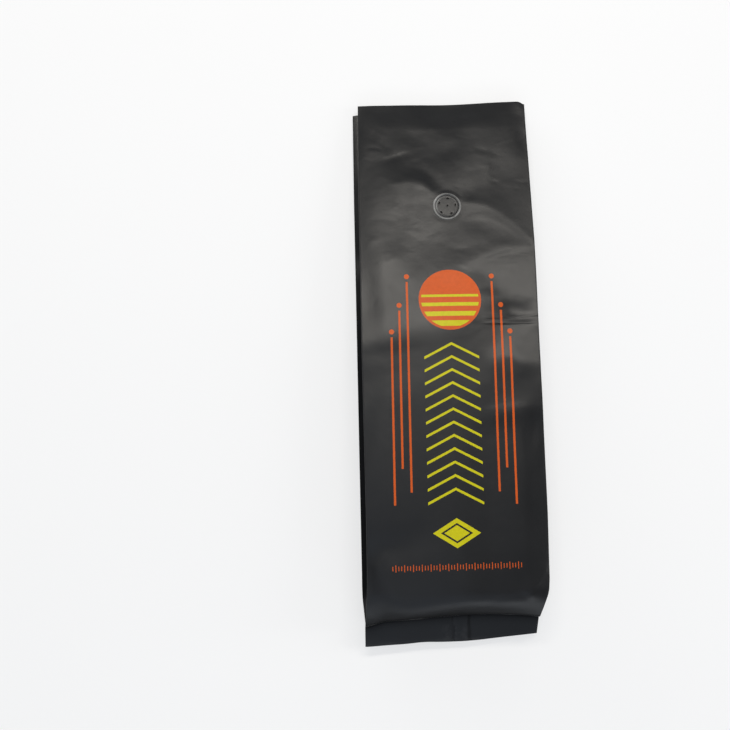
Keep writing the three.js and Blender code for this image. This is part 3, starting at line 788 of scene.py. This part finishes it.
def film_material(printed=True):
    mat, tree, bsdf = new_material("black_film" if printed else "valve_film")
    coords = tree.nodes.new("ShaderNodeTexCoord").outputs["Object"]
    base = mixed(tree, ranged(tree, noise_node(tree, coords, 16.0, 3.0), 0.35, 0.65, 0.0, 1.0), BLACK, BLACK_2)
    rough = ranged(tree, noise_node(tree, coords, 30.0, 4.0, 0.6), 0.3, 0.7, 0.31, 0.36)
    if printed:
        attr = tree.nodes.new("ShaderNodeAttribute")
        attr.attribute_name = "web"
        split = tree.nodes.new("ShaderNodeSeparateXYZ")
        tree.links.new(attr.outputs["Vector"], split.inputs[0])
        wobble = noise_node(tree, coords, 900.0, 1.0, 0.5, "Color")
        parts = tree.nodes.new("ShaderNodeSeparateXYZ")
        tree.links.new(wobble, parts.inputs[0])
        x = Sum(tree, split.outputs[0]) + (Sum(tree, parts.outputs[0]) - 0.5) * 0.30
        y = Sum(tree, split.outputs[1]) + (Sum(tree, parts.outputs[1]) - 0.5) * 0.30
        front = Sum(tree, split.outputs[2]).over(0.5, 0.2)
        orange, yellow = print_masks(tree, x, y, front)
        worn_attr = tree.nodes.new("ShaderNodeAttribute")
        worn_attr.attribute_name = "worn"
        scuff = Sum(tree, worn_attr.outputs["Fac"]) * Sum(
            tree, ranged(tree, noise_node(tree, coords, 140.0, 4.0, 0.7), 0.42, 0.72, 0.0, 0.55)
        )
        base = mixed(tree, scuff.socket, base, WORN)
        ink = noise_node(tree, coords, 420.0, 3.0, 0.6)
        orange_ink = mixed(tree, ranged(tree, ink, 0.3, 0.7, 0.0, 1.0), ORANGE, tuple(c * 0.9 for c in ORANGE))
        yellow_ink = mixed(tree, ranged(tree, ink, 0.3, 0.7, 0.0, 1.0), YELLOW, tuple(c * 0.9 for c in YELLOW))
        base = mixed(tree, orange.socket, base, orange_ink)
        base = mixed(tree, yellow.socket, base, yellow_ink)
        inked = orange.either(yellow)
        rough = (Sum(tree, rough) + inked * 0.05 + scuff * 0.10).socket
        # painted shade from the deep attribute: darkens the film and cuts its shine in the crease over the seal and in
        # the left gusset
        painted_shade_attr = tree.nodes.new("ShaderNodeAttribute")
        painted_shade_attr.attribute_name = "deep"
        painted_shade = Sum(tree, painted_shade_attr.outputs["Fac"])
        base = mixed(tree, (painted_shade * 0.2).socket, base, (0.001, 0.001, 0.001))
        shine = (inked * -0.20 + 0.36) * (painted_shade * -0.8 + 1.0)
        tree.links.new(shine.socket, bsdf.inputs["Specular IOR Level"])
    else:
        bsdf.inputs["Specular IOR Level"].default_value = 0.36
    tree.links.new(base, bsdf.inputs["Base Color"])
    tree.links.new(rough, bsdf.inputs["Roughness"])
    # fine tooth of the matt layer, and soft flow marks of the laminate
    tooth = tree.nodes.new("ShaderNodeBump")
    tooth.inputs["Strength"].default_value = 0.35
    tooth.inputs["Distance"].default_value = 0.00003
    tree.links.new(noise_node(tree, coords, 2600.0, 2.0), tooth.inputs["Height"])
    flow = tree.nodes.new("ShaderNodeBump")
    flow.inputs["Strength"].default_value = 0.5
    flow.inputs["Distance"].default_value = 0.00012
    tree.links.new(noise_node(tree, coords, 150.0, 2.0, 0.45), flow.inputs["Height"])
    tree.links.new(tooth.outputs[0], flow.inputs["Normal"])
    tree.links.new(flow.outputs[0], bsdf.inputs["Normal"])
    return mat


mesh.materials.append(film_material())

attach(film, "root")
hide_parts("pouch")

# ---------------------------------------------------------------- the one-way valve


def valve_frame():
    """Origin on the film and axes of the valve, from the panel's slope there."""
    h = 1.0

    def z(x, y):
        r = np.array([x / HALF])
        e = np.array([y - crease(x / HALF)])
        return float(front_height(r, np.array([y]), e, np.array([x]))[0])

    n = np.array([-(z(VALVE_X + h, VALVE_Y) - z(VALVE_X - h, VALVE_Y)) / 2, -(z(VALVE_X, VALVE_Y + h) - z(VALVE_X, VALVE_Y - h)) / 2, 1.0])
    n = n / np.linalg.norm(n)
    x = np.cross([0.0, 1.0, 0.0], n)
    x = x / np.linalg.norm(x)
    return np.array([VALVE_X, VALVE_Y, z(VALVE_X, VALVE_Y)]), np.stack([x, np.cross(n, x), n], 1)


# paleness of the moulded rim round its turn, in degrees from +x: its own paler plastic, with a painted highlight that
# is brightest on the left and bottom and dimmest at the top
RIM_PALE_AND_HIGHLIGHT = [(0, 0.19), (20, 0.20), (40, 0.15), (60, 0.15), (80, 0.09), (100, 0.14), (120, 0.22), (150, 0.30), (180, 0.28), (210, 0.26), (240, 0.22), (270, 0.24), (290, 0.20), (300, 0.17), (320, 0.28), (340, 0.23), (360, 0.19)]
VENTS = [(6.4, 83 + 72 * i) for i in range(5)]  # radius and turn of the five vents round the middle one


def valve_piece():
    turns = 120
    # outside foot, the rim's bead, a shallow groove, the inner bead and the step to the disc
    profile = [(10.62, -0.9), (10.60, 0.0), (10.54, 0.22), (10.40, 0.50), (10.18, 0.70), (9.94, 0.76), (9.70, 0.66), (9.54, 0.46), (9.40, 0.26), (9.20, 0.14), (8.95, 0.08), (8.70, 0.08), (8.45, 0.14), (8.22, 0.30), (8.02, 0.44), (7.85, 0.47), (7.68, 0.42), (7.52, 0.36), (7.35, 0.34)]
    verts, faces, slot, pale_and_highlight = [], [], [], []
    ring = []
    for k, (rad, h) in enumerate(profile):
        line = []
        for i in range(turns):
            a = 2 * math.pi * i / turns
            uneven = 1 + 0.004 * math.sin(3 * a + 0.7) + 0.003 * math.sin(5 * a)
            lift = 0.05 * math.sin(2 * a + 2.2) * (1 if 2 <= k <= 9 else 0)
            left = max(0.0, math.cos(a - math.radians(172))) ** 2.5  # the inner bead stands up on the left
            if 12 <= k <= 17:
                h_here = 0.34 + (h - 0.34) * (0.35 + 0.65 * left)
            else:
                h_here = h
            line.append(len(verts))
            verts.append((rad * uneven * math.cos(a), rad * uneven * math.sin(a), h_here + lift))
            # painted highlight: the beads are paler on the left and bottom than at the top, and the groove and inner
            # bead are pale on the left only
            rim = float(np.interp(math.degrees(a) % 360, *np.array(RIM_PALE_AND_HIGHLIGHT).T))
            if k <= 1 or k == 18:
                pale_and_highlight.append(0.0)
            elif k <= 8:
                pale_and_highlight.append(rim)
            elif k <= 12:
                pale_and_highlight.append(0.07 * left)
            else:
                pale_and_highlight.append(0.22 * left * (1 if 13 <= k <= 16 else 0.5))
        ring.append(line)
    for k in range(len(profile) - 1):
        for i in range(turns):
            j = (i + 1) % turns
            faces.append((ring[k][i], ring[k][j], ring[k + 1][j], ring[k + 1][i]))
            slot.append(1 if k >= 1 else 0)
    faces.append(tuple(reversed(ring[0])))
    slot.append(0)
    # the disc inside the rim, with a round vent in the middle and five oval ones near its edge
    holes = [(0.3, 0.6, 0.62, 0.80, 0.0)]
    for rad, deg in VENTS:
        a = math.radians(deg)
        holes.append((rad * math.cos(a), rad * math.sin(a), 1.0, 0.62, a + math.pi / 2))

    def in_hole(p, hole, grow):
        cx, cy, along_, across, a = hole
        u = (p[0] - cx) * math.cos(a) + (p[1] - cy) * math.sin(a)
        v = -(p[0] - cx) * math.sin(a) + (p[1] - cy) * math.cos(a)
        return math.hypot(u / (along_ * grow), v / (across * grow)) < 1

    def on_hole(hole, b, grow):
        cx, cy, along_, across, a = hole
        u, v = along_ * grow * math.cos(b), across * grow * math.sin(b)
        return (cx + u * math.cos(a) - v * math.sin(a), cy + u * math.sin(a) + v * math.cos(a))

    pts = [verts[i][:2] for i in ring[-1]]
    edges = [(i, (i + 1) % turns) for i in range(turns)]
    mouths = []
    for hole in holes:
        ids = []
        for i in range(16):
            ids.append(len(pts))
            pts.append(on_hole(hole, 2 * math.pi * i / 16, 1.0))
        edges += [(ids[i], ids[(i + 1) % 16]) for i in range(16)]
        mouths.append(ids)
        for i in range(16):
            p = on_hole(hole, 2 * math.pi * (i + 0.5) / 16, 1.35)
            if math.hypot(*p) < 7.2:
                pts.append(p)
    for rad, n in ((7.1, 90), (5.4, 40), (4.4, 34), (3.4, 26), (2.4, 18), (1.5, 14)):
        for i in range(n):
            a = 2 * math.pi * (i + 0.5 * (n % 4 == 0)) / n
            p = (rad * math.cos(a), rad * math.sin(a))
            if not any(in_hole(p, hole, 1.55) for hole in holes):
                pts.append(p)
    out = delaunay_2d_cdt([Vector(p) for p in pts], edges, [], 0, 1e-5)
    made, tris, source = out[0], out[2], out[3]
    index = {}
    for i, p in enumerate(made):
        src = source[i][0] if source[i] else None
        if src is not None and src < turns:
            index[i] = ring[-1][src]
            continue
        index[i] = len(verts)
        dip = sum(0.03 for hole in holes if in_hole(p, hole, 1.1))
        verts.append((p[0], p[1], 0.34 + 0.05 * (1 - (math.hypot(*p) / 7.35) ** 2) - dip))
        pale_and_highlight.append(0.0)
    back = {}
    for i, src in enumerate(source):
        for s in src:
            back[s] = index[i]
    for t in tris:
        c = (made[t[0]] + made[t[1]] + made[t[2]]) / 3
        if any(in_hole(c, hole, 0.985) for hole in holes) or c.length > 7.4:
            continue
        faces.append(tuple(index[i] for i in t))
        slot.append(2)
    for hole, ids in zip(holes, mouths):
        floor = []
        for i in range(16):
            x, y, h = verts[back[ids[i]]]
            floor.append(len(verts))
            verts.append((hole[0] + (x - hole[0]) * 0.85, hole[1] + (y - hole[1]) * 0.85, h - 0.24))
            pale_and_highlight.append(0.0)
        for i in range(16):
            j = (i + 1) % 16
            faces.append((back[ids[i]], floor[i], floor[j], back[ids[j]]))
            slot.append(3)
        faces.append(tuple(floor))
        slot.append(3)
    origin, axes = valve_frame()
    co = (np.array(verts) @ axes.T + origin + SHIFT) * MM
    m = bpy.data.meshes.new("valve_body")
    m.from_pydata([tuple(v) for v in co.tolist()], [], faces)
    m.polygons.foreach_set("material_index", slot)
    m.polygons.foreach_set("use_smooth", [True] * len(m.polygons))
    attribute = m.attributes.new("pale_and_highlight", "FLOAT", "POINT")
    attribute.data.foreach_set("value", pale_and_highlight)
    m.validate()
    m.set_sharp_from_angle(angle=math.radians(50))
    o = bpy.data.objects.new("valve_body", m)
    bpy.context.scene.collection.objects.link(o)
    return o


def ring_material():
    """The moulded rim: dark in its groove, paler on its beads, partly its own paler plastic and partly a painted
    highlight where the light runs in its edge, brightest on the left.
    """
    mat, tree, bsdf = new_material("valve_ring")
    coords = tree.nodes.new("ShaderNodeTexCoord").outputs["Object"]
    attr = tree.nodes.new("ShaderNodeAttribute")
    attr.attribute_name = "pale_and_highlight"
    grain = Sum(tree, ranged(tree, noise_node(tree, coords, 500.0, 3.0), 0.3, 0.7, 0.82, 1.12))
    # painted highlight mixed in with the rim's own paleness
    pale_and_highlight_amount = Sum(tree, attr.outputs["Fac"]) * grain
    base = mixed(tree, pale_and_highlight_amount.socket, (0.011, 0.011, 0.0115), (1.0, 0.985, 0.95))
    tree.links.new(base, bsdf.inputs["Base Color"])
    tree.links.new(ranged(tree, noise_node(tree, coords, 900.0, 2.0), 0.3, 0.7, 0.27, 0.40), bsdf.inputs["Roughness"])
    bsdf.inputs["Specular IOR Level"].default_value = 0.40
    bump = tree.nodes.new("ShaderNodeBump")
    bump.inputs["Strength"].default_value = 0.4
    bump.inputs["Distance"].default_value = 0.00008
    tree.links.new(noise_node(tree, coords, 1200.0, 2.0), bump.inputs["Height"])
    tree.links.new(bump.outputs[0], bsdf.inputs["Normal"])
    return mat


def vent_material():
    mat, tree, bsdf = new_material("vent_dark")
    coords = tree.nodes.new("ShaderNodeTexCoord").outputs["Object"]
    base = mixed(tree, noise_node(tree, coords, 2000.0), (0.004, 0.004, 0.004), (0.009, 0.008, 0.007))
    tree.links.new(base, bsdf.inputs["Base Color"])
    bsdf.inputs["Roughness"].default_value = 0.7
    bsdf.inputs["Specular IOR Level"].default_value = 0.08
    return mat


valve = valve_piece()
plain = film_material(printed=False)
for m in (plain, ring_material(), plain, vent_material()):
    valve.data.materials.append(m)
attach(valve, "root")
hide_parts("valve")

# ---------------------------------------------------------------- floor, light and camera


def floor_piece():
    m = bpy.data.meshes.new("floor")
    s = 6.0
    m.from_pydata([(-s, -s, 0), (s, -s, 0), (s, s, 0), (-s, s, 0)], [], [(0, 1, 2, 3)])
    o = bpy.data.objects.new("floor", m)
    bpy.context.scene.collection.objects.link(o)
    mat, tree, bsdf = new_material("floor_pale")
    coords = tree.nodes.new("ShaderNodeTexCoord").outputs["Object"]
    base = mixed(tree, noise_node(tree, coords, 3.0), (0.38, 0.38, 0.38), (0.39, 0.39, 0.39))
    tree.links.new(base, bsdf.inputs["Base Color"])
    bsdf.inputs["Roughness"].default_value = 0.8
    bsdf.inputs["Specular IOR Level"].default_value = 0.1
    bsdf.inputs["Emission Color"].default_value = (1.0, 1.0, 1.0, 1.0)
    bsdf.inputs["Emission Strength"].default_value = 0.595
    m.materials.append(mat)
    return o


floor_piece()


def softbox(name, place, aim, size, power, colour=(1, 1, 1)):
    light = bpy.data.lights.new(name, "AREA")
    light.shape = "RECTANGLE"
    light.size, light.size_y = size
    light.energy = power
    light.color = colour
    o = bpy.data.objects.new(name, light)
    o.location = place
    o.rotation_mode = "QUATERNION"
    o.rotation_quaternion = (Vector(aim) - Vector(place)).to_track_quat("-Z", "Y")
    bpy.context.scene.collection.objects.link(o)
    return o


world = bpy.data.worlds.new("studio")
bpy.context.scene.world = world
world.use_nodes = True
world.node_tree.nodes["Background"].inputs["Color"].default_value = (0.92, 0.97, 1.04, 1.0)
world.node_tree.nodes["Background"].inputs["Strength"].default_value = 0.19

softbox("key", (0.02, 0.583, 1.21), (0.0, 0.05, 0.03), (0.95, 0.15), 8.2, (1.0, 0.955, 0.88))
softbox("top_fill", (-0.25, 0.10, 1.60), (-0.02, -0.05, 0.03), (1.0, 0.9), 1.15, (0.88, 0.95, 1.06))
softbox("front_fill", (-0.15, -1.0, 1.42), (0.0, -0.18, 0.03), (1.4, 1.5), 4.0, (0.84, 0.95, 1.12))
softbox("front_strip", (0.10, -1.58, 0.85), (0.0, -0.18, 0.03), (2.6, 0.4), 4.0, (0.93, 0.98, 1.04))
softbox("corner_strip", (0.70, -1.56, 0.85), (0.0, -0.18, 0.03), (0.7, 0.4), 1.5, (0.93, 0.98, 1.04))
softbox("left", (-1.4, 1.35, 0.50), (0.0, 0.0, 0.0), (1.6, 0.4), 8.0)
softbox("right", (1.8, 0.0, 0.50), (0.0, 0.0, 0.0), (0.4, 2.0), 12.0)
softbox("back_low", (0.0, 1.9, 0.50), (0.0, 0.0, 0.0), (2.6, 0.4), 10.0)

camera = bpy.data.cameras.new("camera")
camera.sensor_width = 36.0
camera.lens = 1145.6 / 730.0 * 36.0
camera.clip_start, camera.clip_end = 0.01, 50.0
eye = bpy.data.objects.new("camera", camera)
turn = (
    Matrix.Rotation(math.radians(7.1), 3, "X")
    @ Matrix.Rotation(math.radians(-0.69), 3, "Y")
    @ Matrix.Rotation(math.radians(-0.82), 3, "Z")
)
place = (np.array([-73.3, -113.1, 863.9]) + SHIFT) * MM
eye.matrix_world = Matrix.Translation(Vector(place)) @ turn.to_4x4()
bpy.context.scene.collection.objects.link(eye)
bpy.context.scene.camera = eye
bpy.context.scene.view_settings.view_transform = "Standard"

bpy.context.view_layer.update()
